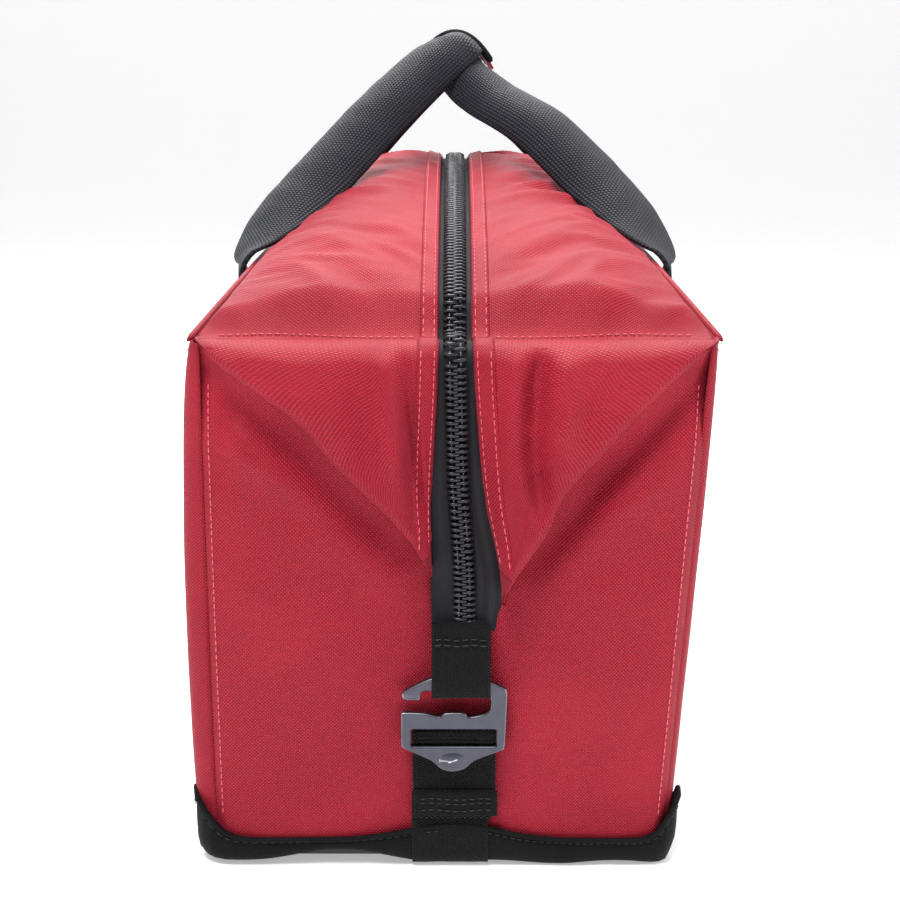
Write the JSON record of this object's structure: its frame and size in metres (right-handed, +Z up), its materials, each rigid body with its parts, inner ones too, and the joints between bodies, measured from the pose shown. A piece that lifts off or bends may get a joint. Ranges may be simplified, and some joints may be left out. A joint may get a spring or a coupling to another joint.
{
  "type": "hockey equipment bag",
  "caption": "Soft padded zip-top sports bag with folded ears held by G-hooks, a coil zip along an arched top, and two webbing carry handles joined by a grip wrap",
  "frame": {"origin": "centre of the overall box in plan, on the floor plane under the bag", "axes": "+Z up; Y along the bag's length with the near end (the end first seen) at -Y; X across, +X to the right when the near end is faced"},
  "size_m": [0.2402, 0.5364, 0.3981],
  "materials": {
    "red_nylon": "coated basket-weave nylon, satin",
    "black_webbing": "coarse woven webbing, matte",
    "black_nylon": "plain woven nylon, matte",
    "zip_black": "woven tape and moulded coil, satin",
    "closed_foam": "closed-cell foam, matte",
    "board_plastic": "plain sheet",
    "lining": "smooth coated lining, satin",
    "cast_metal": "satin grey die-cast metal with bright bevelled edges"
  },
  "bodies": {
    "shell": {"bottom_boot": "black_nylon", "base_board": "board_plastic", "base_foam": "closed_foam", "inner_liner": "lining", "side_panel_left": "red_nylon", "side_panel_right": "red_nylon", "top_border_left": "red_nylon", "top_border_right": "red_nylon", "side_foam_left": "closed_foam", "side_foam_right": "closed_foam", "end_panel_near": "red_nylon", "end_panel_far": "red_nylon", "end_foam_near": "closed_foam", "end_foam_far": "closed_foam", "hook_strap_near": "black_webbing", "hook_strap_far": "black_webbing", "side_strap_left_near": "black_webbing", "side_strap_left_far": "black_webbing", "side_strap_right_near": "black_webbing", "side_strap_right_far": "black_webbing"},
    "mouth_left": {"top_half_left": "red_nylon", "zip_tape_left": "zip_black", "zip_coil_left": "zip_black"},
    "mouth_right": {"top_half_right": "red_nylon", "zip_tape_right": "zip_black", "zip_coil_right": "zip_black"},
    "handle_left": {"handle_left": "black_webbing", "grip_wrap": "red_nylon", "grip_binding_near": "black_nylon", "grip_binding_far": "black_nylon"},
    "handle_right": {"handle_right": "black_webbing"},
    "slider": {"zip_slider": "cast_metal"},
    "pull_tab": {"pull_tab": "cast_metal"},
    "ear_near": {"ear_near": "red_nylon", "ear_tape_near": "zip_black", "ear_coil_near": "zip_black", "end_tab_near": "black_webbing"},
    "hook_near": {"g_hook_near": "cast_metal", "hook_loop_near": "black_webbing"},
    "ear_far": {"ear_far": "red_nylon", "ear_tape_far": "zip_black", "ear_coil_far": "zip_black", "end_tab_far": "black_webbing"},
    "hook_far": {"g_hook_far": "cast_metal", "hook_loop_far": "black_webbing"}
  },
  "joints": [
    {"name": "mouth_left_open", "type": "hinge", "parent": "shell", "child": "mouth_left", "pos_m": [-0.112, 0, 0.268], "axis": [0, -1, 0], "range_deg": [0, 45], "deforming": ["zip_tape_left", "zip_coil_left"]},
    {"name": "mouth_right_open", "type": "hinge", "parent": "shell", "child": "mouth_right", "pos_m": [0.112, 0, 0.268], "axis": [0, 1, 0], "range_deg": [0, 45], "deforming": ["zip_tape_right", "zip_coil_right"]},
    {"name": "handle_left_swing", "type": "hinge", "parent": "mouth_left", "child": "handle_left", "pos_m": [-0.119, 0, 0.269], "axis": [0, -1, 0], "range_deg": [0, 150]},
    {"name": "handle_right_swing", "type": "hinge", "parent": "mouth_right", "child": "handle_right", "pos_m": [0.119, 0, 0.269], "axis": [0, 1, 0], "range_deg": [0, 150], "deforming": ["grip_wrap", "grip_binding_near", "grip_binding_far"]},
    {"name": "zip_travel", "type": "hinge", "parent": "shell", "child": "slider", "pos_m": [0, 0, -0.16241], "axis": [1, 0, 0], "range_deg": [0, 55.84]},
    {"name": "pull_tab_flip", "type": "hinge", "parent": "slider", "child": "pull_tab", "pos_m": [0, 0.22942, 0.27295], "axis": [-1, 0, 0], "range_deg": [0, 165]},
    {"name": "ear_near_lift", "type": "hinge", "parent": "shell", "child": "ear_near", "pos_m": [0, -0.254, 0.253], "axis": [-1, 0, 0], "range_deg": [0, 100], "deforming": ["end_tab_near"]},
    {"name": "ear_far_lift", "type": "hinge", "parent": "shell", "child": "ear_far", "pos_m": [0, 0.254, 0.253], "axis": [1, 0, 0], "range_deg": [0, 100], "deforming": ["end_tab_far"]},
    {"name": "hook_near_drop", "type": "hinge", "parent": "shell", "child": "hook_near", "pos_m": [0, -0.2616, 0.0392], "axis": [1, 0, 0], "range_deg": [0, 110]},
    {"name": "hook_far_drop", "type": "hinge", "parent": "shell", "child": "hook_far", "pos_m": [0, 0.2616, 0.0392], "axis": [-1, 0, 0], "range_deg": [0, 110]}
  ],
  "couplings": [
    {"joint": "mouth_right_open", "follows": "mouth_left_open", "ratio": 1},
    {"joint": "zip_travel", "follows": "mouth_left_open", "ratio": 1.2409}
  ]
}
